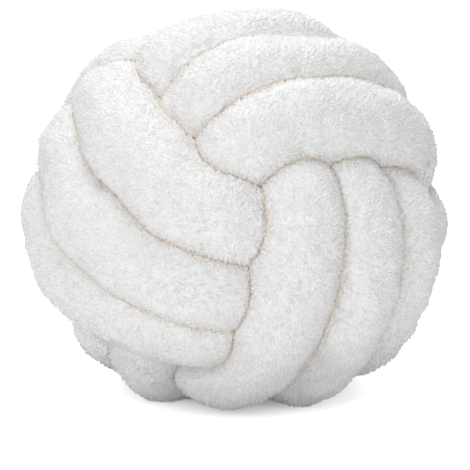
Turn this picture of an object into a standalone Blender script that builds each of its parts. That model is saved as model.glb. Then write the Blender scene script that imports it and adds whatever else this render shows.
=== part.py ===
"""Knot cushion: one long stuffed tube of fleece, tied into a round three-strand ball knot.

The knot is three bands that link like three rings, and the one tube runs three times round each
band before it crosses the core to the next. Its two ends are joined inside, where they don't show.
All three bands are the same but for how their strands lie by hand, and each is a third of a turn
about the (1, 1, 1) diagonal from the last. The route comes first, and then its crowded stretches
give way to each other. The tube is last, with its sides pressed flat where strands meet.
Units are metres, +Z is up, and the origin is under the middle of the cushion, on what it rests on.
"""

from math import pi, radians

import bmesh
import bpy
import numpy as np
from mathutils import Euler

# The ball and its tube.
TUBE_RADIUS = 0.0335        # of the stuffed tube where nothing presses on it
OUTER_SHELL = 0.1205        # middle of the ball to the middle of a strand that shows
INNER_SHELL = 0.070         # the same where the strand passes under the next band
SETTLED_TOP = 0.985         # the upper half's height over its radius, under the cushion's weight
SETTLED_BOTTOM = 0.89       # the same for the lower half
FLOOR_LEVEL = -0.099        # the floor keeps the middles of the lowest strands above this
FLOOR_SOFTNESS = 0.005      # over which a strand gives way to it
PRESSED_FLAT = 0.007        # how much of the lowest strands the floor flattens
STRAND_GAP = 0.0026         # left between strands that press on each other

# The bands. A band's strands show side by side on two opposite sides of the ball.
TURNS = 3                                # strands in a band
STRAND_SPREAD = radians(25.7)            # between neighbouring strands that show
BUNCHED_PITCH = 0.036                    # between neighbouring strands that are covered
DIVE_START = radians(28)                 # where a strand starts down, from the middle of its side
DIVE_END = radians(70)                   # where it is covered
NARROW_START = radians(30)               # where the strands start to bunch together
NARROW_END = radians(62)                 # where they are bunched
SHIFT_HALF_ANGLE = radians(34)           # half the covered stretch in which it moves over one strand
LEAVE_ANGLE = radians(26)                # how far from the covered middle it leaves the band
CORE_PULL = 0.13                         # how firmly the crossing keeps its direction
CORE_DIP = 0.32                          # how far the crossing is drawn in to the middle

# Tied by hand: how far each strand of a side leans over where it comes in from under one band,
# in the middle, and where it goes out under the next, and how much sooner it dives, in degrees.
HAND_TIED = {
    "left": (
        {"lean_in": 6, "lean_mid": 3, "lean_out": -2.5, "sooner_in": 0, "sooner_out": -4},
        {"lean_in": 12, "lean_mid": 2.5, "lean_out": -1, "sooner_in": 0, "sooner_out": -5},
        {"lean_in": 16, "lean_mid": 5, "lean_out": 9, "sooner_in": 0, "sooner_out": -6},
    ),
    "right": (
        {"lean_in": -4, "lean_mid": -1.5, "lean_out": -2.5, "sooner_in": -11, "sooner_out": 1},
        {"lean_in": -3, "lean_mid": 0.5, "lean_out": 2, "sooner_in": -5, "sooner_out": 5},
        {"lean_in": -1, "lean_mid": 3, "lean_out": 6, "sooner_in": -3, "sooner_out": 9},
    ),
    "top": (
        {"lean_in": 3, "lean_mid": 3, "lean_out": -0.5, "sooner_in": 0, "sooner_out": -2},
        {"lean_in": 9, "lean_mid": 9, "lean_out": 5, "sooner_in": 0, "sooner_out": 4},
        {"lean_in": 13, "lean_mid": 14, "lean_out": 8, "sooner_in": 0, "sooner_out": 6},
    ),
    "bottom": (
        {"lean_in": -12, "lean_mid": -11, "lean_out": -4, "sooner_in": 2, "sooner_out": 0},
        {"lean_in": -9, "lean_mid": -8, "lean_out": -3, "sooner_in": 12, "sooner_out": 0},
        {"lean_in": -4, "lean_mid": -3, "lean_out": 0, "sooner_in": 8, "sooner_out": 0},
    ),
    "far_right": (
        {"lean_in": 0, "lean_mid": 0, "lean_out": 0, "sooner_in": -8, "sooner_out": 0},
        {"lean_in": 0, "lean_mid": 0, "lean_out": 0, "sooner_in": -8, "sooner_out": 0},
        {"lean_in": 0, "lean_mid": 0, "lean_out": 0, "sooner_in": -8, "sooner_out": 0},
    ),
    "far_left": (
        {"lean_in": 12, "lean_mid": 12, "lean_out": 12, "sooner_in": 8, "sooner_out": 8},
        {"lean_in": 12, "lean_mid": 12, "lean_out": 12, "sooner_in": 0, "sooner_out": 0},
        {"lean_in": 12, "lean_mid": 12, "lean_out": 12, "sooner_in": 0, "sooner_out": 0},
    ),
}
UNTOUCHED = ({"lean_in": 0, "lean_mid": 0, "lean_out": 0, "sooner_in": 0, "sooner_out": 0},) * 3
TIED_RISE = radians(30)                  # a lean or a dive set by hand grows over this angle
TIED_END = radians(70)                   # and goes again from here on, where it is covered

# Crowded strands push each other apart until they lie this far apart or are evenly pressed.
ROOMY = 0.046
EASE_ROUNDS = 70
EASE_SHARE = 0.35
EASE_BLUR = 0.012
EVENING = 0.55              # how firmly the stuffed tube evens out its own bends
EVENING_REACH = 0.020
EVENING_BLUR = 0.030
FREE_BELOW = 0.095          # strands deeper in the ball than this give way freely
SAME_STRETCH = 0.10         # points nearer than this along the tube don't press on each other

# How the knot is turned, as three turns about X, Y and Z.
KNOT_TURN = (radians(-22), radians(-3), radians(-138))

# Fineness of the route and of the faceted tube.
BAND_POINTS = 900
CROSSING_POINTS = 120
ROUTE_POINTS = 1200
COVERED_BELOW = 0.085       # rings are furthest apart nearer the middle of the ball than this
SHOWN_ABOVE = 0.110         # and closest together further out than this
RING_STEP_SHOWN = 0.0125
RING_STEP_COVERED = 0.0145
SIDES = 10
PRESS_SHARPNESS = 9.0       # how sharply a pressed side turns into a round one
BEND_SHARE = 0.75           # how much of a bend's radius the tube may fill on its inside
RING_TURN_BLUR = 0.013      # the rings turn as slowly as a route smoothed over this length

FLEECE_WHITE = (0.88, 0.87, 0.85, 1.0)


def eased(x):
    """0 to 1 with soft ends."""
    x = np.clip(x, 0.0, 1.0)
    return x ** 3 * (x * (6 * x - 15) + 10)


def unit(vectors):
    return vectors / np.linalg.norm(vectors, axis=-1, keepdims=True)


def next_band(points):
    """The same points on the next band: a third of a turn about the (1, 1, 1) diagonal."""
    return points[:, [2, 0, 1]]


def band_points(angle, slot, lean, sooner):
    """Points of the first band, by the angle round it and the strand, from 1 to -1 across."""
    fold = np.abs((angle + pi / 2) % pi - pi / 2) + sooner
    covered = eased((fold - DIVE_START) / (DIVE_END - DIVE_START))
    radius = OUTER_SHELL + (INNER_SHELL - OUTER_SHELL) * covered
    bunched = eased((fold - NARROW_START) / (NARROW_END - NARROW_START))
    shown_offset = OUTER_SHELL * np.sin(slot * STRAND_SPREAD + lean)
    offset = shown_offset + (slot * BUNCHED_PITCH - shown_offset) * bunched
    in_plane = np.sqrt(radius ** 2 - offset ** 2)
    return np.stack([in_plane * np.cos(angle), in_plane * np.sin(angle), offset], axis=1)


def tied_by_hand(angle, side_middle, strands):
    """The lean and the early dive along a band, from the three strands of one of its sides."""
    lean = np.zeros(len(angle))
    sooner = np.zeros(len(angle))
    for turn, strand in enumerate(strands):
        past_middle = angle - side_middle - turn * 2 * pi
        on_side = eased((TIED_END + TIED_RISE - np.abs(past_middle)) / TIED_RISE)
        going_in = on_side * eased(-past_middle / TIED_RISE)
        going_out = on_side * eased(past_middle / TIED_RISE)
        lean += going_in * radians(strand["lean_in"]) + going_out * radians(strand["lean_out"])
        lean += (on_side - going_in - going_out) * radians(strand["lean_mid"])
        sooner += going_in * radians(strand["sooner_in"]) + going_out * radians(strand["sooner_out"])
    return lean, sooner


def band_route(near_side, far_side):
    """Three times round a band, one strand over at each covered middle but the last."""
    start = -pi / 2 + LEAVE_ANGLE
    end = -pi / 2 + TURNS * 2 * pi - LEAVE_ANGLE
    angle = np.linspace(start, end, BAND_POINTS)
    slot = np.ones(len(angle))
    for turn in range(1, TURNS):
        crossing = turn * 2 * pi - pi / 2
        slot -= eased((angle - crossing + SHIFT_HALF_ANGLE) / (2 * SHIFT_HALF_ANGLE))
    near_lean, near_sooner = tied_by_hand(angle, 0, near_side)
    far_lean, far_sooner = tied_by_hand(angle, pi, far_side)
    return band_points(angle, slot, near_lean + far_lean, near_sooner + far_sooner)


def core_crossing(band, following):
    """From one band's last strand through the core to the next band's first one."""
    start, start_way = band[-1], unit(band[-1] - band[-2]) * CORE_PULL
    end, end_way = following[0], unit(following[1] - following[0]) * CORE_PULL
    s = np.linspace(0, 1, CROSSING_POINTS + 2)[1:-1, None]
    leaving = (2 * s ** 3 - 3 * s ** 2 + 1) * start + (s ** 3 - 2 * s ** 2 + s) * start_way
    arriving = (3 * s ** 2 - 2 * s ** 3) * end + (s ** 3 - s ** 2) * end_way
    return (leaving + arriving) * (1 - CORE_DIP * np.sin(pi * s) ** 2)


def length_of(route):
    return np.linalg.norm(np.roll(route, -1, axis=0) - route, axis=1).sum()


def respaced(route, count):
    """The closed route with its points at equal distances."""
    closed = np.vstack([route, route[:1]])
    along = np.concatenate([[0], np.cumsum(np.linalg.norm(np.diff(closed, axis=0), axis=1))])
    places = np.arange(count) * along[-1] / count
    return np.stack([np.interp(places, along, closed[:, k]) for k in range(3)], axis=1)


def blurred(values, width):
    """A closed row of values, smoothed over so many points."""
    frequency = np.fft.fftfreq(len(values))
    keep = np.exp(-2 * (pi * frequency * width) ** 2)
    return np.fft.ifft(np.fft.fft(values, axis=0) * keep[:, None], axis=0).real


def knot_route():
    """The closed middle line of the whole tube, before the strands press on each other."""
    bands = []
    sides = (("left", "far_left"), ("right", "far_right"), ("top", "bottom"))
    for turns, (near, far) in enumerate(sides):
        band = band_route(HAND_TIED.get(near, UNTOUCHED), HAND_TIED.get(far, UNTOUCHED))
        for _ in range(turns):
            band = next_band(band)
        bands.append(band)
    stretches = []
    for band, following in zip(bands, bands[1:] + bands[:1]):
        stretches += [band, core_crossing(band, following)]
    return respaced(np.concatenate(stretches), ROUTE_POINTS)


def settled(route):
    """The route turned the way the cushion lies, and flattened a little by its weight on the floor."""
    route = route @ np.array(Euler(KNOT_TURN).to_matrix()).T
    upper = eased((route[:, 2] / OUTER_SHELL + 1) / 2)
    height = route[:, 2] * (SETTLED_BOTTOM + (SETTLED_TOP - SETTLED_BOTTOM) * upper)
    route[:, 2] = FLOOR_LEVEL + FLOOR_SOFTNESS * np.logaddexp(0, (height - FLOOR_LEVEL) / FLOOR_SOFTNESS)
    return route


def spread_crowded(route, held):
    """Moves crowded strands apart, a little at a time. Those that are held keep their place."""
    home = route
    length = length_of(route)
    spacing = length / len(route)
    along = np.arange(len(route)) * spacing
    apart = np.abs(along[:, None] - along)
    pressing = np.minimum(apart, length - apart) > SAME_STRETCH
    reach = round(EVENING_REACH / spacing)
    for _ in range(EASE_ROUNDS):
        away = route[:, None] - route
        distance = np.sqrt((away ** 2).sum(axis=2)) + 1e-9
        press = np.clip(1 - distance / ROOMY, 0, 1) * pressing
        push = (away * (press / distance)[..., None]).sum(axis=1)
        push /= np.maximum(np.linalg.norm(push, axis=1), 1e-6)[:, None]
        push *= (press.max(axis=1) * ROOMY / 2)[:, None]
        route = route + EASE_SHARE * blurred(push, EASE_BLUR / spacing)
        bend = (np.roll(route, -reach, axis=0) + np.roll(route, reach, axis=0)) / 2 - route
        route = route + EVENING * (bend - blurred(bend, EVENING_BLUR / spacing))
        route = route + held * (home - route)
    return respaced(route, len(route))


def tied_knot():
    """The middle line of the whole tube as the cushion lies on the floor, which is at height 0."""
    route = knot_route()
    held = eased((np.linalg.norm(route, axis=1) - FREE_BELOW) / (OUTER_SHELL - FREE_BELOW))
    route = spread_crowded(settled(route), held[:, None])
    route[:, 2] += TUBE_RADIUS - PRESSED_FLAT - route[:, 2].min()
    return route


def ring_places(route, middle):
    """Which route points get a ring: closer together where the tube shows."""
    out = np.linalg.norm(route - middle, axis=1)
    shown = np.clip((out - COVERED_BELOW) / (SHOWN_ABOVE - COVERED_BELOW), 0, 1)
    step = RING_STEP_COVERED + (RING_STEP_SHOWN - RING_STEP_COVERED) * shown
    spacing = length_of(route) / len(route)
    counted = np.cumsum(spacing / step)
    rings = int(round(counted[-1]))
    return np.searchsorted(counted, (np.arange(rings) + 0.5) * counted[-1] / rings)


def pressed_tube(route):
    """Rings of points round the tube, each side pressed flat where it meets another strand."""
    middle = (route.min(axis=0) + route.max(axis=0)) / 2
    length = length_of(route)
    spacing = length / len(route)
    along = np.arange(len(route)) * spacing
    way = unit(blurred(np.roll(route, -1, axis=0) - np.roll(route, 1, axis=0), RING_TURN_BLUR / spacing))
    bend = (np.roll(way, -2, axis=0) - np.roll(way, 2, axis=0)) / (4 * spacing)
    out = route - middle
    out = unit(out - (out * way).sum(axis=1)[:, None] * way)
    side = np.cross(way, out)
    angles = (np.arange(SIDES) + 0.5) * 2 * pi / SIDES
    rings = []
    for place in ring_places(route, middle):
        normals = np.outer(np.cos(angles), out[place]) + np.outer(np.sin(angles), side[place])
        others = route - route[place]
        apart = np.abs(along - along[place])
        others = others[np.minimum(apart, length - apart) > SAME_STRETCH]
        reach = (others ** 2).sum(axis=1) - STRAND_GAP ** 2
        facing = np.maximum(STRAND_GAP + normals @ others.T, 1e-4)
        room = (reach / (2 * facing)).min(axis=1)
        inward = np.maximum(normals @ bend[place], 1e-3)
        room = np.minimum(room, BEND_SHARE / inward)
        radius = (TUBE_RADIUS ** -PRESS_SHARPNESS + room ** -PRESS_SHARPNESS) ** (-1 / PRESS_SHARPNESS)
        ring = route[place] + radius[:, None] * normals
        ring[:, 2] = np.maximum(ring[:, 2], 0)
        rings.append(ring)
    rings = np.array(rings)
    corners = rings.reshape(-1, 3)
    rings[..., :2] -= (corners.min(axis=0) + corners.max(axis=0))[:2] / 2
    return rings


def sewn_tube(name, rings):
    """A flat strip rolled up through the rings, with its long seam and its two ends closed."""
    count = len(rings)
    strip = bmesh.new()
    bmesh.ops.create_grid(strip, x_segments=count, y_segments=SIDES, size=0.5)
    for vertex in strip.verts:
        ring = round((vertex.co.x + 0.5) * count) % count
        step = round((vertex.co.y + 0.5) * SIDES) % SIDES
        vertex.co = rings[ring][step]
    bmesh.ops.remove_doubles(strip, verts=strip.verts, dist=1e-7)
    bmesh.ops.triangulate(strip, faces=strip.faces)
    bmesh.ops.recalc_face_normals(strip, faces=strip.faces)
    mesh = bpy.data.meshes.new(name)
    strip.to_mesh(mesh)
    strip.free()
    mesh.shade_smooth()
    return mesh


def fleece():
    material = bpy.data.materials.new("white_fleece")
    material.use_nodes = True
    shader = material.node_tree.nodes["Principled BSDF"]
    shader.inputs["Base Color"].default_value = FLEECE_WHITE
    shader.inputs["Roughness"].default_value = 0.95
    shader.inputs["Metallic"].default_value = 0.0
    return material


def main():
    for leftover in list(bpy.data.objects):
        bpy.data.objects.remove(leftover, do_unlink=True)
    cushion = bpy.data.collections.new("knot_cushion")
    bpy.context.scene.collection.children.link(cushion)
    mesh = sewn_tube("stuffed_tube", pressed_tube(tied_knot()))
    mesh.materials.append(fleece())
    tube = bpy.data.objects.new("stuffed_tube", mesh)
    cushion.objects.link(tube)


main()
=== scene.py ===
"""The looks of the knot cushion: a stuffed tube of white curly fleece, tied into a ball knot.

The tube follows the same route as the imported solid, with finer sections and soft lumps from its filling.
Four joined meshes of low tufts are the pile on all of it that shows. The route is three bands that link
like three rings, and the one tube runs three times round each before it crosses the core to the next.
Units are metres, +Z is up, and the origin is under the middle of the cushion, on the floor.
"""

from math import cos, pi, radians, sin

import bmesh
import bpy
import numpy as np
from mathutils import Euler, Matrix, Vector


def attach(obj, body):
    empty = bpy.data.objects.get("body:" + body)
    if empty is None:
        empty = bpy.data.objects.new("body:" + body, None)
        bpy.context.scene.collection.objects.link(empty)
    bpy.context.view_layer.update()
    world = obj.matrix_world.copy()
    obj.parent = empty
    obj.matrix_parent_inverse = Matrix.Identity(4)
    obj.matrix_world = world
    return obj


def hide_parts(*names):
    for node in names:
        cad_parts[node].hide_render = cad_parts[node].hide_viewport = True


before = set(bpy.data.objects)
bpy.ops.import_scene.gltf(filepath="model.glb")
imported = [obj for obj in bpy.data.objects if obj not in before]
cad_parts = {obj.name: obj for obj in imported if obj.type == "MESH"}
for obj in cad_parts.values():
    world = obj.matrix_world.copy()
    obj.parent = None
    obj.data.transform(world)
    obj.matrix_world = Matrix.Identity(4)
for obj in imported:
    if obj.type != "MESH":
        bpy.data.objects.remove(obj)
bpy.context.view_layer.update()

# The ball and its tube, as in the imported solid.
TUBE_RADIUS = 0.0335        # of the stuffed tube where nothing presses on it
OUTER_SHELL = 0.1205        # middle of the ball to the middle of a strand that shows
INNER_SHELL = 0.070         # the same where the strand passes under the next band
SETTLED_TOP = 0.985         # the upper half's height over its radius, under the cushion's weight
SETTLED_BOTTOM = 0.89       # the same for the lower half
FLOOR_LEVEL = -0.099        # the floor keeps the middles of the lowest strands above this
FLOOR_SOFTNESS = 0.005      # over which a strand gives way to it
PRESSED_FLAT = 0.007        # how much of the lowest strands the floor flattens

# The bands. A band's strands show side by side on two opposite sides of the ball.
TURNS = 3                                # strands in a band
STRAND_SPREAD = radians(25.7)            # between neighbouring strands that show
BUNCHED_PITCH = 0.036                    # between neighbouring strands that are covered
DIVE_START = radians(28)                 # where a strand starts down, from the middle of its side
DIVE_END = radians(70)                   # where it is covered
NARROW_START = radians(30)               # where the strands start to bunch together
NARROW_END = radians(62)                 # where they are bunched
SHIFT_HALF_ANGLE = radians(34)           # half the covered stretch in which it moves over one strand
LEAVE_ANGLE = radians(26)                # how far from the covered middle it leaves the band
CORE_PULL = 0.13                         # how firmly the crossing keeps its direction
CORE_DIP = 0.32                          # how far the crossing is drawn in to the middle

# Tied by hand: how far each strand of a side leans over where it comes in from under one band,
# in the middle, and where it goes out under the next, and how much sooner it dives, in degrees.
HAND_TIED = {
    "left": (
        {"lean_in": 6, "lean_mid": 3, "lean_out": -2.5, "sooner_in": 0, "sooner_out": -4},
        {"lean_in": 12, "lean_mid": 2.5, "lean_out": -1, "sooner_in": 0, "sooner_out": -5},
        {"lean_in": 16, "lean_mid": 5, "lean_out": 9, "sooner_in": 0, "sooner_out": -6},
    ),
    "right": (
        {"lean_in": -4, "lean_mid": -1.5, "lean_out": -2.5, "sooner_in": -11, "sooner_out": 1},
        {"lean_in": -3, "lean_mid": 0.5, "lean_out": 2, "sooner_in": -5, "sooner_out": 5},
        {"lean_in": -1, "lean_mid": 3, "lean_out": 6, "sooner_in": -3, "sooner_out": 9},
    ),
    "top": (
        {"lean_in": 3, "lean_mid": 3, "lean_out": -0.5, "sooner_in": 0, "sooner_out": -2},
        {"lean_in": 9, "lean_mid": 9, "lean_out": 5, "sooner_in": 0, "sooner_out": 4},
        {"lean_in": 13, "lean_mid": 14, "lean_out": 8, "sooner_in": 0, "sooner_out": 6},
    ),
    "bottom": (
        {"lean_in": -12, "lean_mid": -11, "lean_out": -4, "sooner_in": 2, "sooner_out": 0},
        {"lean_in": -9, "lean_mid": -8, "lean_out": -3, "sooner_in": 12, "sooner_out": 0},
        {"lean_in": -4, "lean_mid": -3, "lean_out": 0, "sooner_in": 8, "sooner_out": 0},
    ),
    "far_right": (
        {"lean_in": 0, "lean_mid": 0, "lean_out": 0, "sooner_in": -8, "sooner_out": 0},
        {"lean_in": 0, "lean_mid": 0, "lean_out": 0, "sooner_in": -8, "sooner_out": 0},
        {"lean_in": 0, "lean_mid": 0, "lean_out": 0, "sooner_in": -8, "sooner_out": 0},
    ),
    "far_left": (
        {"lean_in": 12, "lean_mid": 12, "lean_out": 12, "sooner_in": 8, "sooner_out": 8},
        {"lean_in": 12, "lean_mid": 12, "lean_out": 12, "sooner_in": 0, "sooner_out": 0},
        {"lean_in": 12, "lean_mid": 12, "lean_out": 12, "sooner_in": 0, "sooner_out": 0},
    ),
}
TIED_RISE = radians(30)                  # a listed lean or dive grows over this angle
TIED_END = radians(70)                   # and goes again from here on, where it is covered

# Crowded strands push each other apart until they lie this far apart or are evenly pressed.
ROOMY = 0.046
EASE_ROUNDS = 70
EASE_SHARE = 0.35
EASE_BLUR = 0.012
EVENING = 0.55              # how firmly the stuffed tube evens out its own bends
EVENING_REACH = 0.020
EVENING_BLUR = 0.030
FREE_BELOW = 0.095          # strands deeper in the ball than this give way freely
SAME_STRETCH = 0.10         # points nearer than this along the tube don't press on each other

# How the knot is turned, as three turns about X, Y and Z.
KNOT_TURN = (radians(-22), radians(-3), radians(-138))

# Fineness of the route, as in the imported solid, and how much finer the shown tube's is.
BAND_POINTS = 900
CROSSING_POINTS = 120
ROUTE_POINTS = 1200
FINER = 3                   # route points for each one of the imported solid's

# The fine tube.
SIDES = 56
OUTWARD_CROWDING = 0.45     # how much closer the sides lie where the tube faces out of the ball
RING_STEP_SHOWN = 0.0027
RING_STEP_COVERED = 0.0080
COVERED_BELOW = 0.080       # rings are furthest apart nearer the middle of the ball than this
SHOWN_ABOVE = 0.100         # and closest together further out than this
RING_TURN_BLUR = 0.012      # the rings turn as slowly as a route smoothed over this length
BEND_STEPS = 4              # route points each way over which a bend is measured
CLOTH_RADIUS = TUBE_RADIUS - 0.0014      # the pile stands on this
CLOTH_OFF_FLOOR = 0.0008
GAP = 0.0003                # between the cloth of two strands, filled by their pile
PRESS_SHARPNESS = 20.0      # how sharply a pressed side turns into a round one
BEND_SHARE = 0.75           # how much of a bend's radius the tube may fill on its inside
LEAST_FACING = 1e-4         # how much a strand must lie in a side's way to press on it
LEAST_BEND = 1e-3           # a flatter bend limits nothing
CREASE_WIDTH = 0.0075       # clearance to the next strand at which a crease begins
SAME_PLACE = 1e-7           # points nearer than this are one point

# Soft lumps of the filling: wavelength and height. They fade in beside a pressed side.
LUMPS = (
    {"wave": 0.055, "height": 0.0008},
    {"wave": 0.022, "height": 0.0004},
    {"wave": 0.009, "height": 0.0002},
)
WAVES_A_LUMP = 28
WAVE_SPREAD = (0.75, 1.35)  # shortest and longest of its waves, as shares of its wavelength
LUMP_FADE = 0.12            # over this share of the tube's radius in clearance

# The pile: low tufts, side by side on all the cloth that shows. Length and width are halves.
TUFTS = 128000
PILE_PIECES = 4
TUFT_LENGTH = (0.0011, 0.0019)
TUFT_WIDTH = (0.0010, 0.0016)
TUFT_HEIGHT = (0.0008, 0.0026)
TUFT_FOOT = 0.0003          # how far a tuft's foot reaches into the cloth
TUFT_LEAN = 0.20195         # spread of its lean to each side
TUFT_SOFTNESS = 0.3         # how far its sides are shaded like the cloth below
TUFT_VARIATION = 0.3        # how much lighter or darker one tuft is than the next
SPOT_PLACE = (0.15, 0.85)   # where in its share of the cloth a tuft may stand
PILE_OFF_FLOOR = 0.0002
PILE_ROOM = 0.0002          # no tuft stands where the next strand is nearer than this
PILE_REACH = -0.2           # how far round a strand it reaches, from 1 on its outer line to -1 inside
PILE_FROM_MIDDLE = 0.090    # no tuft stands nearer the middle of the ball than this
CREASE_GROWTH = 0.5         # how much larger tufts are down in a crease, which they fill
CREASE_LIFT = 0.0004        # how far off the cloth they stand there
CREASE_CROWDING = 2.0       # how much closer they stand there
CREASE_TURN = 1.6           # how far the pile there turns to face out of the crease
SEED = 11

# The pile's map, with a square for each tuft.
PILE_MAP = "OFBake"         # the name of the pile's own map
SQUARE_MARGIN = 0.04        # left free along the edges of a square
SIDES_SHARE = 0.8           # the share of a square that shows a tuft's sides, beside its hidden foot
FOOT_INSET = 0.05           # left free round the foot

# The fleece. Its grain is painted shade on each tuft, darker at its foot than at its peak, with a tone that
# differs at random from tuft to tuft.
FLEECE_WHITE = (0.97, 0.969, 0.967)
# painted shade: the warm darker colour the creases get in place of the shade that falls in them
CREASE_PAINTED_SHADE = (0.91, 0.82, 0.72)
CREASE_SHADE_POWER = 1.8     # the warm painted shade keeps to the depth of a crease
TUFT_PAINTED_SHADES = (0.82, 1.0)   # of the white, at a tuft's foot and at its peak: painted shade, darker at the foot
GROUND_PAINTED_SHADE = 0.3           # the cloth's painted shade under the pile, as a place between the two
FLEECE_FINISH = {
    "Roughness": 0.95,
    "Metallic": 0.0,
    "Specular IOR Level": 0.15,
    "Sheen Weight": 0.8,
    "Sheen Roughness": 0.35,
}

# Fine fuzz, as a bump in the fleece.
FUZZ_SCALE = 1300.0
FUZZ_DETAIL = 2.0
FUZZ_HEIGHT = 0.0005
GROUND_FUZZ = 0.5           # how strongly it shows on the cloth
PILE_FUZZ = 0.35            # and on the tufts

# The camera, placed by the photo: elevation, distance and scale at the middle of the ball.
CAMERA_ELEVATION = radians(10)
CAMERA_DISTANCE = 1.43
METRES_A_PIXEL = 0.000714
IMAGE_SIDE = 470
BALL_AT = (237, 218.5)      # the ball's middle in the picture, in pixels from the top left
BALL_MIDDLE = (0, 0, 0.1245)
SENSOR_WIDTH = 36.0         # in millimetres, as the lens is

# The studio: a floor of pale paper, white air and six soft lamps that point at the ball's middle.
FLOOR_HALF_SIDE = 6.0
PAPER_FINISH = {
    "Base Color": (0.93, 0.93, 0.93, 1),
    "Roughness": 0.8,
    "Specular IOR Level": 0.1,
    "Emission Color": (1, 1, 1, 1),
}
FLOOR_GLOW = 0.75           # only the camera sees it, and there is none right below the ball, which paints a shadow there
PAINTED_SHADOW_REACH = 0.115          # from there, where it is full; the fade paints a round shadow under the ball, over its real shadow from the lamps
AIR_LIGHT = (0.35, 0.35)    # how strongly the air lights the cushion, from level with it and from above
LAMP_SIZE = 1.0
LAMPS = {
    "top_light": {"place": (0, 0, 2.6), "power": 18.5},
    "top_left_light": {"place": (-1.5, 0, 2.0), "power": 6},
    "back_light": {"place": (0, 1.3, 2.2), "power": 26},
    "front_left_light": {"place": (-1.3, -2.0, 1.2), "power": 14.5},
    "front_right_light": {"place": (1.3, -2.0, 1.2), "power": 8},
    "front_low_light": {"place": (0, -2.5, 0.3), "power": 8},
}


def eased(x):
    """0 to 1 with soft ends."""
    x = np.clip(x, 0.0, 1.0)
    return x ** 3 * (x * (6 * x - 15) + 10)


def unit(vectors):
    return vectors / np.linalg.norm(vectors, axis=-1, keepdims=True)


def next_band(points):
    """The same points on the next band: a third of a turn about the (1, 1, 1) diagonal."""
    return points[:, [2, 0, 1]]


def band_points(angle, slot, lean, sooner):
    """Points of the first band, by the angle round it and the strand, from 1 to -1 across."""
    fold = np.abs((angle + pi / 2) % pi - pi / 2) + sooner
    covered = eased((fold - DIVE_START) / (DIVE_END - DIVE_START))
    radius = OUTER_SHELL + (INNER_SHELL - OUTER_SHELL) * covered
    bunched = eased((fold - NARROW_START) / (NARROW_END - NARROW_START))
    shown_offset = OUTER_SHELL * np.sin(slot * STRAND_SPREAD + lean)
    offset = shown_offset + (slot * BUNCHED_PITCH - shown_offset) * bunched
    in_plane = np.sqrt(radius ** 2 - offset ** 2)
    return np.stack([in_plane * np.cos(angle), in_plane * np.sin(angle), offset], axis=1)


def tied_by_hand(angle, side_middle, strands):
    """The lean and the early dive along a band, from the three strands of one of its sides."""
    lean = np.zeros(len(angle))
    sooner = np.zeros(len(angle))
    for turn, strand in enumerate(strands):
        past_middle = angle - side_middle - turn * 2 * pi
        on_side = eased((TIED_END + TIED_RISE - np.abs(past_middle)) / TIED_RISE)
        going_in = on_side * eased(-past_middle / TIED_RISE)
        going_out = on_side * eased(past_middle / TIED_RISE)
        lean += going_in * radians(strand["lean_in"]) + going_out * radians(strand["lean_out"])
        lean += (on_side - going_in - going_out) * radians(strand["lean_mid"])
        sooner += going_in * radians(strand["sooner_in"]) + going_out * radians(strand["sooner_out"])
    return lean, sooner


def band_route(near_side, far_side):
    """Three times round a band, one strand over at each covered middle but the last."""
    start = -pi / 2 + LEAVE_ANGLE
    end = -pi / 2 + TURNS * 2 * pi - LEAVE_ANGLE
    angle = np.linspace(start, end, BAND_POINTS)
    slot = np.ones(len(angle))
    for turn in range(1, TURNS):
        crossing = turn * 2 * pi - pi / 2
        slot -= eased((angle - crossing + SHIFT_HALF_ANGLE) / (2 * SHIFT_HALF_ANGLE))
    near_lean, near_sooner = tied_by_hand(angle, 0, near_side)
    far_lean, far_sooner = tied_by_hand(angle, pi, far_side)
    return band_points(angle, slot, near_lean + far_lean, near_sooner + far_sooner)


def core_crossing(band, following):
    """From one band's last strand through the core to the next band's first one."""
    start, start_way = band[-1], unit(band[-1] - band[-2]) * CORE_PULL
    end, end_way = following[0], unit(following[1] - following[0]) * CORE_PULL
    s = np.linspace(0, 1, CROSSING_POINTS + 2)[1:-1, None]
    leaving = (2 * s ** 3 - 3 * s ** 2 + 1) * start + (s ** 3 - 2 * s ** 2 + s) * start_way
    arriving = (3 * s ** 2 - 2 * s ** 3) * end + (s ** 3 - s ** 2) * end_way
    return (leaving + arriving) * (1 - CORE_DIP * np.sin(pi * s) ** 2)


def length_of(route):
    return np.linalg.norm(np.roll(route, -1, axis=0) - route, axis=1).sum()


def respaced(route, count):
    """The closed route with its points at equal distances."""
    closed = np.vstack([route, route[:1]])
    along = np.concatenate([[0], np.cumsum(np.linalg.norm(np.diff(closed, axis=0), axis=1))])
    places = np.arange(count) * along[-1] / count
    return np.stack([np.interp(places, along, closed[:, k]) for k in range(3)], axis=1)


def blurred(values, width):
    """A closed row of values, smoothed over so many points."""
    frequency = np.fft.fftfreq(len(values))
    keep = np.exp(-2 * (pi * frequency * width) ** 2)
    return np.fft.ifft(np.fft.fft(values, axis=0) * keep[:, None], axis=0).real


def knot_route():
    """The closed middle line of the whole tube, before the strands press on each other."""
    bands = []
    sides = (("left", "far_left"), ("right", "far_right"), ("top", "bottom"))
    for turns, (near, far) in enumerate(sides):
        band = band_route(HAND_TIED[near], HAND_TIED[far])
        for _ in range(turns):
            band = next_band(band)
        bands.append(band)
    stretches = []
    for band, following in zip(bands, bands[1:] + bands[:1]):
        stretches += [band, core_crossing(band, following)]
    return respaced(np.concatenate(stretches), ROUTE_POINTS)


def settled(route):
    """The route turned the way the cushion lies, and flattened a little by its weight on the floor."""
    route = route @ np.array(Euler(KNOT_TURN).to_matrix()).T
    upper = eased((route[:, 2] / OUTER_SHELL + 1) / 2)
    height = route[:, 2] * (SETTLED_BOTTOM + (SETTLED_TOP - SETTLED_BOTTOM) * upper)
    route[:, 2] = FLOOR_LEVEL + FLOOR_SOFTNESS * np.logaddexp(0, (height - FLOOR_LEVEL) / FLOOR_SOFTNESS)
    return route


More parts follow.
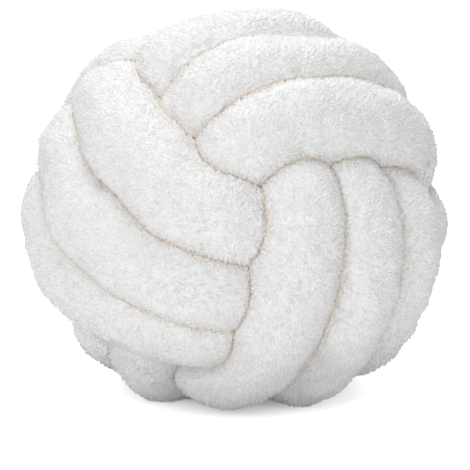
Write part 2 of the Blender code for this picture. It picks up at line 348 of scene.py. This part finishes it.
def spread_crowded(route, held):
    """Moves crowded strands apart, a little at a time. Those that are held keep their place."""
    home = route
    length = length_of(route)
    spacing = length / len(route)
    along = np.arange(len(route)) * spacing
    apart = np.abs(along[:, None] - along)
    pressing = np.minimum(apart, length - apart) > SAME_STRETCH
    reach = round(EVENING_REACH / spacing)
    for _ in range(EASE_ROUNDS):
        away = route[:, None] - route
        distance = np.sqrt((away ** 2).sum(axis=2)) + 1e-9
        press = np.clip(1 - distance / ROOMY, 0, 1) * pressing
        push = (away * (press / distance)[..., None]).sum(axis=1)
        push /= np.maximum(np.linalg.norm(push, axis=1), 1e-6)[:, None]
        push *= (press.max(axis=1) * ROOMY / 2)[:, None]
        route = route + EASE_SHARE * blurred(push, EASE_BLUR / spacing)
        bend = (np.roll(route, -reach, axis=0) + np.roll(route, reach, axis=0)) / 2 - route
        route = route + EVENING * (bend - blurred(bend, EVENING_BLUR / spacing))
        route = route + held * (home - route)
    return respaced(route, len(route))


def tied_knot():
    """The middle line of the whole tube as the cushion lies on the floor, which is at height 0."""
    route = knot_route()
    held = eased((np.linalg.norm(route, axis=1) - FREE_BELOW) / (OUTER_SHELL - FREE_BELOW))
    route = spread_crowded(settled(route), held[:, None])
    route[:, 2] += TUBE_RADIUS - PRESSED_FLAT - route[:, 2].min()
    return route


def finer(route, times):
    """The closed route with so many times the points, on the same smooth curve."""
    count = len(route)
    waves = np.fft.fft(route, axis=0)
    padded = np.zeros((count * times, 3), complex)
    padded[:count // 2] = waves[:count // 2]
    padded[-(count // 2) + 1:] = waves[-(count // 2) + 1:]
    return np.fft.ifft(padded, axis=0).real * times


def how_shown(route, middle):
    """1 where the tube lies on the outside of the ball, 0 where it is covered."""
    out = np.linalg.norm(route - middle, axis=1)
    return eased((out - COVERED_BELOW) / (SHOWN_ABOVE - COVERED_BELOW))


def ring_places(route, shown):
    """Which route points get a ring: closer together where the tube shows."""
    step = RING_STEP_COVERED + (RING_STEP_SHOWN - RING_STEP_COVERED) * shown
    counted = np.cumsum(length_of(route) / len(route) / step)
    rings = int(round(counted[-1]))
    return np.searchsorted(counted, (np.arange(rings) + 0.5) * counted[-1] / rings)


def soft_lumps(points):
    """How far the filling pushes the cloth out or lets it in, for each point."""
    draw = np.random.default_rng(SEED)
    total = np.zeros(len(points))
    for lump in LUMPS:
        ways = unit(draw.normal(size=(WAVES_A_LUMP, 3)))
        pace = 2 * pi / (lump["wave"] * draw.uniform(*WAVE_SPREAD, WAVES_A_LUMP))
        phase = draw.uniform(0, 2 * pi, WAVES_A_LUMP)
        waves = np.sin(points @ (ways * pace[:, None]).T + phase).sum(axis=1)
        total += lump["height"] * waves / np.sqrt(WAVES_A_LUMP / 2)
    return total


def pressed_rings(route):
    """Rings of points round the tube, the clearance of each to the next strand, and how far it faces out."""
    middle = (route.min(axis=0) + route.max(axis=0)) / 2
    length = length_of(route)
    spacing = length / len(route)
    along = np.arange(len(route)) * spacing
    way = unit(blurred(np.roll(route, -1, axis=0) - np.roll(route, 1, axis=0), RING_TURN_BLUR / spacing))
    bend = np.roll(way, -BEND_STEPS, axis=0) - np.roll(way, BEND_STEPS, axis=0)
    bend /= 2 * BEND_STEPS * spacing
    out = route - middle
    out = unit(out - (out * way).sum(axis=1)[:, None] * way)
    side = np.cross(way, out)
    shown = how_shown(route, middle)
    share = (np.arange(SIDES) + 0.5) / SIDES
    angles = 2 * pi * share - OUTWARD_CROWDING * np.sin(2 * pi * share)
    rings, clear, outward = [], [], []
    for place in ring_places(route, shown):
        normals = np.outer(np.cos(angles), out[place]) + np.outer(np.sin(angles), side[place])
        others = route - route[place]
        apart = np.abs(along - along[place])
        others = others[np.minimum(apart, length - apart) > SAME_STRETCH]
        reach = (others ** 2).sum(axis=1) - GAP ** 2
        facing = np.maximum(GAP + normals @ others.T, LEAST_FACING)
        room = (reach / (2 * facing)).min(axis=1)
        inward = np.maximum(normals @ bend[place], LEAST_BEND)
        limit = np.minimum(room, BEND_SHARE / inward)
        radius = (CLOTH_RADIUS ** -PRESS_SHARPNESS + limit ** -PRESS_SHARPNESS) ** (-1 / PRESS_SHARPNESS)
        ring = route[place] + radius[:, None] * normals
        free = eased((room / TUBE_RADIUS - 1) / LUMP_FADE)
        ring += (free * soft_lumps(ring))[:, None] * normals
        ring[:, 2] = np.maximum(ring[:, 2], CLOTH_OFF_FLOOR)
        rings.append(ring)
        clear.append(room - radius)
        outward.append(np.cos(angles) * shown[place])
    return np.array(rings), np.array(clear), np.array(outward)


def rolled_cloth(name, rings):
    """A flat strip rolled up through the rings, with its long seam and its two ends closed."""
    count = len(rings)
    strip = bmesh.new()
    bmesh.ops.create_grid(strip, x_segments=count, y_segments=SIDES, size=0.5)
    for vertex in strip.verts:
        ring = round((vertex.co.x + 0.5) * count) % count
        step = round((vertex.co.y + 0.5) * SIDES) % SIDES
        vertex.co = rings[ring][step]
    bmesh.ops.remove_doubles(strip, verts=strip.verts, dist=SAME_PLACE)
    bmesh.ops.recalc_face_normals(strip, faces=strip.faces)
    mesh = bpy.data.meshes.new(name)
    strip.to_mesh(mesh)
    strip.free()
    mesh.shade_smooth()
    return mesh


def values_by_place(mesh, rings, values):
    """The value of each mesh point, looked up by the ring point that lies in its place."""
    points = np.empty(len(mesh.vertices) * 3, np.float32)
    mesh.vertices.foreach_get("co", points)
    places = rings.reshape(-1, 3).astype(np.float32)
    value_at = {tuple(place): value for place, value in zip(places, values.ravel())}
    return np.array([value_at[tuple(point)] for point in points.reshape(-1, 3)])


def new_piece(name, mesh, material):
    piece = bpy.data.objects.new(name, mesh)
    bpy.context.scene.collection.objects.link(piece)
    mesh.materials.append(material)
    return piece


def set_attribute(mesh, name, values):
    attribute = mesh.attributes.new(name, "FLOAT", "POINT")
    attribute.data.foreach_set("value", np.asarray(values, np.float32))


def crease_share(clear):
    """0 on the open cloth, 1 down between two strands."""
    return np.clip(1 - clear / CREASE_WIDTH, 0, 1)


def turned_out(normal, out, crease):
    """Outward directions of the cloth, turned in a crease to face out of it, as the pile there does."""
    return unit(normal + CREASE_TURN * crease[:, None] * unit(out))


def face_out_of_creases(mesh, crease):
    """Shades the cloth down in the creases as the pile that fills them."""
    place, way = np.empty((2, len(mesh.vertices) * 3), np.float32)
    mesh.vertices.foreach_get("co", place)
    mesh.vertex_normals.foreach_get("vector", way)
    place = place.reshape(-1, 3)
    middle = (place.min(axis=0) + place.max(axis=0)) / 2
    mesh.normals_split_custom_set_from_vertices(turned_out(way.reshape(-1, 3), place - middle, crease))


def patches(rings):
    """The four corners of each patch of cloth between two rings, in order round it."""
    near, ahead = rings, np.roll(rings, -1, axis=0)
    return near, ahead, np.roll(ahead, -1, axis=1), np.roll(near, -1, axis=1)


def pile_spots(rings, clear, outward, draw):
    """Evenly scattered places on the cloth that shows: point, outward direction, crease share."""
    corners = patches(rings)
    near, ahead, ahead_over, near_over = corners
    across = np.cross(ahead_over - near, near_over - ahead)
    area = np.linalg.norm(across, axis=2) / 2
    normal = across / np.maximum(2 * area, 1e-12)[..., None]
    points = rings.reshape(-1, 3)
    middle = (points.min(axis=0) + points.max(axis=0)) / 2
    centre = (near + ahead + ahead_over + near_over) / 4
    from_inside = centre - np.roll(centre, SIDES // 2, axis=1)
    normal *= np.sign((normal * from_inside).sum(axis=2))[..., None]
    room = (clear + np.roll(clear, -1, axis=0)) / 2
    room = (room + np.roll(room, -1, axis=1)) / 2
    facing = (outward + np.roll(outward, -1, axis=0)) / 2
    ball = np.linalg.norm(centre - middle, axis=2)
    wanted = area * (1 + CREASE_CROWDING * crease_share(room))
    wanted *= (room > PILE_ROOM) * (facing > PILE_REACH) * (ball > PILE_FROM_MIDDLE)
    counted = np.cumsum(wanted.ravel())
    marks = (np.arange(TUFTS) + draw.uniform(*SPOT_PLACE, TUFTS)) * counted[-1] / TUFTS
    patch = np.searchsorted(counted, marks)
    u, v = draw.uniform(0, 1, (2, TUFTS, 1))
    near, ahead, ahead_over, near_over = (rows.reshape(-1, 3)[patch] for rows in corners)
    point = (near * (1 - u) + ahead * u) * (1 - v) + (near_over * (1 - u) + ahead_over * u) * v
    crease = crease_share(room.ravel()[patch])
    return point, turned_out(normal.reshape(-1, 3)[patch], point - middle, crease), crease


def tuft_shape():
    """A low four-sided peak on its foot."""
    peak = bmesh.new()
    bmesh.ops.create_cone(peak, cap_ends=True, segments=4, radius1=1.0, radius2=0.0, depth=1.0)
    bmesh.ops.translate(peak, verts=peak.verts, vec=(0, 0, 0.5))
    bmesh.ops.triangulate(peak, faces=peak.faces)
    return peak


def give_each_its_square(mesh, corners, faces, count):
    """A map that gives each tuft a square of its own, with its sides beside its foot, as seen from above."""
    rows = int(np.ceil(np.sqrt(count)))
    square = np.stack([np.arange(count) % rows, np.arange(count) // rows], axis=1)
    x, y = corners[:, 0], corners[:, 1]
    seen = np.stack([x + y, x - y], axis=1) / 2 + 0.5
    is_foot = corners[faces][:, :, 2].max(axis=1) == 0
    inside = 1 - 2 * FOOT_INSET
    spots = seen[faces]
    spots[~is_foot] *= (SIDES_SHARE, 1.0)
    spots[is_foot] *= (inside - SIDES_SHARE, inside)
    spots[is_foot] += (SIDES_SHARE + FOOT_INSET, FOOT_INSET)
    spots = SQUARE_MARGIN + (1 - 2 * SQUARE_MARGIN) * spots.reshape(-1, 2)
    layer = mesh.uv_layers.new(name=PILE_MAP)
    layer.uv.foreach_set("vector", ((square[:, None] + spots) / rows).astype(np.float32).ravel())


def joined_copies(name, verts, faces):
    """One mesh of many copies of a shape of triangles, from the places of each copy's corners."""
    count, corners = verts.shape[:2]
    loops = (faces[None] + (np.arange(count) * corners)[:, None, None]).ravel()
    mesh = bpy.data.meshes.new(name)
    mesh.vertices.add(count * corners)
    mesh.vertices.foreach_set("co", verts.astype(np.float32).ravel())
    mesh.loops.add(len(loops))
    mesh.loops.foreach_set("vertex_index", loops.astype(np.int32))
    mesh.polygons.add(count * len(faces))
    mesh.polygons.foreach_set("loop_start", np.arange(0, len(loops), 3, dtype=np.int32))
    mesh.update(calc_edges=True)
    mesh.validate()
    mesh.shade_smooth()
    return mesh


def pile_mesh(name, point, normal, crease, draw):
    """One joined mesh of many tufts, each stretched and turned its own way."""
    shape = tuft_shape()
    corners = np.array([vertex.co for vertex in shape.verts])
    faces = np.array([[vertex.index for vertex in face.verts] for face in shape.faces])
    shape.free()
    count = len(point)
    up = unit(normal + TUFT_LEAN * draw.normal(size=(count, 3)))
    across = unit(np.cross(up, unit(draw.normal(size=(count, 3)))))
    ways = np.stack([across, np.cross(up, across), up], axis=1)
    sizes = np.stack([draw.uniform(*span, count) for span in (TUFT_LENGTH, TUFT_WIDTH, TUFT_HEIGHT)], axis=1)
    sizes *= 1 + CREASE_GROWTH * crease[:, None]
    sizes[:, 2] += TUFT_FOOT
    foot = point + normal * (CREASE_LIFT * crease[:, None] - TUFT_FOOT)
    verts = foot[:, None] + np.einsum("ck,nk,nkx->ncx", corners, sizes, ways)
    verts[..., 2] = np.maximum(verts[..., 2], PILE_OFF_FLOOR)
    mesh = joined_copies(name, verts, faces)
    give_each_its_square(mesh, corners, faces, count)
    own = unit(np.einsum("ck,nkx->ncx", corners, ways))
    shade = unit(own * (1 - TUFT_SOFTNESS) + normal[:, None] * TUFT_SOFTNESS)
    mesh.normals_split_custom_set_from_vertices(shade.reshape(-1, 3))
    set_attribute(mesh, "crease", np.repeat(crease, len(corners)))
    # Painted shade, 0 at a tuft's foot and 1 at its peak, with a tone that differs at random from tuft to
    # tuft.
    foot_shade_and_tone = corners[None, :, 2] + TUFT_VARIATION * draw.uniform(-1, 1, (count, 1))
    set_attribute(mesh, "foot_shade_and_tone", foot_shade_and_tone.ravel())
    return mesh


def finished(name, finish):
    """A new material with these values on its shader, and its nodes, links and shader."""
    material = bpy.data.materials.new(name)
    material.use_nodes = True
    nodes, links = material.node_tree.nodes, material.node_tree.links
    shader = nodes["Principled BSDF"]
    for socket, value in finish.items():
        shader.inputs[socket].default_value = value
    return material, nodes, links, shader


def attribute_value(nodes, name):
    attribute = nodes.new("ShaderNodeAttribute")
    attribute.attribute_name = name
    return attribute.outputs["Fac"]


def fleece(name, fuzz_strength):
    """White fleece: matt, with a soft sheen, painted shade darker towards the feet of its tufts, and a warm
    painted shade in the creases.
    """
    material, nodes, links, shader = finished(name, FLEECE_FINISH)
    # The creases get painted shade: the white is mixed towards a warm darker colour by how deep in a crease
    # the point lies.
    crease_shade_mask = nodes.new("ShaderNodeMath")
    crease_shade_mask.operation = "POWER"
    crease_shade_mask.inputs[1].default_value = CREASE_SHADE_POWER
    links.new(attribute_value(nodes, "crease"), crease_shade_mask.inputs[0])
    white_with_crease_shade = nodes.new("ShaderNodeMix")
    white_with_crease_shade.data_type = "RGBA"
    white_with_crease_shade.inputs["A"].default_value = (*FLEECE_WHITE, 1)
    white_with_crease_shade.inputs["B"].default_value = (*CREASE_PAINTED_SHADE, 1)
    links.new(crease_shade_mask.outputs["Value"], white_with_crease_shade.inputs["Factor"])
    # Painted shade, darker towards the feet of the tufts, with their random tone.
    foot_shade_and_tone = nodes.new("ShaderNodeMapRange")
    foot_shade_and_tone.inputs["To Min"].default_value, foot_shade_and_tone.inputs["To Max"].default_value = TUFT_PAINTED_SHADES
    links.new(attribute_value(nodes, "foot_shade_and_tone"), foot_shade_and_tone.inputs["Value"])
    shade = nodes.new("ShaderNodeVectorMath")
    shade.operation = "SCALE"
    links.new(white_with_crease_shade.outputs["Result"], shade.inputs[0])
    links.new(foot_shade_and_tone.outputs["Result"], shade.inputs["Scale"])
    links.new(shade.outputs["Vector"], shader.inputs["Base Color"])
    place = nodes.new("ShaderNodeTexCoord")
    fuzz = nodes.new("ShaderNodeTexNoise")
    fuzz.inputs["Scale"].default_value = FUZZ_SCALE
    fuzz.inputs["Detail"].default_value = FUZZ_DETAIL
    links.new(place.outputs["Object"], fuzz.inputs["Vector"])
    bump = nodes.new("ShaderNodeBump")
    bump.inputs["Strength"].default_value = fuzz_strength
    bump.inputs["Distance"].default_value = FUZZ_HEIGHT
    links.new(fuzz.outputs["Fac"], bump.inputs["Height"])
    links.new(bump.outputs["Normal"], shader.inputs["Normal"])
    return material


def make_tube(rings, clear):
    mesh = rolled_cloth("fleece_tube", rings)
    crease = values_by_place(mesh, rings, crease_share(clear))
    set_attribute(mesh, "crease", crease)
    face_out_of_creases(mesh, crease)
    # The cloth under the pile gets painted shade, as dark as a tuft's lower part.
    set_attribute(mesh, "foot_shade_and_tone", np.full(len(mesh.vertices), GROUND_PAINTED_SHADE))
    tube = new_piece("fleece_tube", mesh, fleece("fleece_ground", GROUND_FUZZ))
    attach(tube, "root")
    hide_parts("stuffed_tube")


def make_pile(rings, clear, outward):
    draw = np.random.default_rng(SEED)
    material = fleece("fleece_pile", PILE_FUZZ)
    point, normal, crease = pile_spots(rings, clear, outward, draw)
    for k in range(PILE_PIECES):
        name = f"fleece_pile_{k + 1}"
        some = slice(k, None, PILE_PIECES)
        mesh = pile_mesh(name, point[some], normal[some], crease[some], draw)
        piece = new_piece(name, mesh, material)
        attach(piece, "root")


def make_cushion():
    rings, clear, outward = pressed_rings(finer(tied_knot(), FINER))
    points = rings.reshape(-1, 3)
    rings[..., :2] -= (points.min(axis=0) + points.max(axis=0))[:2] / 2
    make_tube(rings, clear)
    make_pile(rings, clear, outward)


def seen_by_camera(nodes, links, operation):
    """A sum whose second number is 1 where the camera looks straight at it, and 0 for all other light."""
    seen = nodes.new("ShaderNodeMath")
    seen.operation = operation
    light_path = nodes.new("ShaderNodeLightPath")
    links.new(light_path.outputs["Is Camera Ray"], seen.inputs[1])
    return seen


def make_floor():
    """Pale paper. Its glow doesn't light the cushion, and fades out below it, which paints a round shadow
    there over the real one from the lamps.
    """
    ground = bmesh.new()
    bmesh.ops.create_grid(ground, x_segments=1, y_segments=1, size=FLOOR_HALF_SIDE)
    mesh = bpy.data.meshes.new("studio_floor")
    ground.to_mesh(mesh)
    ground.free()
    paper, nodes, links, shader = finished("studio_paper", PAPER_FINISH)
    place = nodes.new("ShaderNodeTexCoord")
    away = nodes.new("ShaderNodeVectorMath")
    away.operation = "LENGTH"
    links.new(place.outputs["Object"], away.inputs[0])
    # The glow fades out towards the ball's foot: a painted shadow there, on top of the real one from the
    # lamps.
    glow = nodes.new("ShaderNodeMapRange")
    glow.interpolation_type = "SMOOTHSTEP"
    glow.inputs["From Max"].default_value = PAINTED_SHADOW_REACH
    glow.inputs["To Max"].default_value = FLOOR_GLOW
    links.new(away.outputs["Value"], glow.inputs["Value"])
    seen = seen_by_camera(nodes, links, "MULTIPLY")
    links.new(glow.outputs["Result"], seen.inputs[0])
    links.new(seen.outputs["Value"], shader.inputs["Emission Strength"])
    floor = new_piece("studio_floor", mesh, paper)


def make_air():
    """Plain white to the camera, and a paler light on the cushion from all round.

    The light is even, but it is still set by height: one fixed strength renders with more grain.
    """
    air = bpy.data.worlds.new("studio_air")
    bpy.context.scene.world = air
    air.use_nodes = True
    nodes, links = air.node_tree.nodes, air.node_tree.links
    nodes["Background"].inputs["Color"].default_value = (1, 1, 1, 1)
    way = nodes.new("ShaderNodeTexCoord")
    parts = nodes.new("ShaderNodeSeparateXYZ")
    links.new(way.outputs["Generated"], parts.inputs["Vector"])
    light = nodes.new("ShaderNodeMapRange")
    light.inputs["To Min"].default_value, light.inputs["To Max"].default_value = AIR_LIGHT
    links.new(parts.outputs["Z"], light.inputs["Value"])
    strength = seen_by_camera(nodes, links, "MAXIMUM")
    links.new(light.outputs["Result"], strength.inputs[0])
    links.new(strength.outputs["Value"], nodes["Background"].inputs["Strength"])


def soft_light(name, place, power):
    lamp = bpy.data.lights.new(name, "AREA")
    lamp.shape = "DISK"
    lamp.size = LAMP_SIZE
    lamp.energy = power
    light = bpy.data.objects.new(name, lamp)
    light.location = place
    light.rotation_euler = (Vector(BALL_MIDDLE) - Vector(place)).to_track_quat("-Z", "Y").to_euler()
    bpy.context.scene.collection.objects.link(light)


def make_studio():
    make_floor()
    make_air()
    for name, lamp in LAMPS.items():
        soft_light(name, lamp["place"], lamp["power"])


def make_camera():
    data = bpy.data.cameras.new("camera")
    data.sensor_width = SENSOR_WIDTH
    data.lens = SENSOR_WIDTH * CAMERA_DISTANCE / (IMAGE_SIDE * METRES_A_PIXEL)
    camera = bpy.data.objects.new("camera", data)
    middle = Vector(BALL_MIDDLE)
    back = Vector((0, -cos(CAMERA_ELEVATION), sin(CAMERA_ELEVATION)))
    camera.location = middle + back * CAMERA_DISTANCE
    right = Vector((1, 0, 0))
    up = Vector((0, sin(CAMERA_ELEVATION), cos(CAMERA_ELEVATION)))
    aim = middle + right * ((IMAGE_SIDE / 2 - BALL_AT[0]) * METRES_A_PIXEL)
    aim += up * ((BALL_AT[1] - IMAGE_SIDE / 2) * METRES_A_PIXEL)
    camera.rotation_euler = (aim - camera.location).to_track_quat("-Z", "Y").to_euler()
    bpy.context.scene.collection.objects.link(camera)
    bpy.context.scene.camera = camera
    bpy.context.scene.view_settings.view_transform = "Standard"


make_camera()
make_studio()
make_cushion()
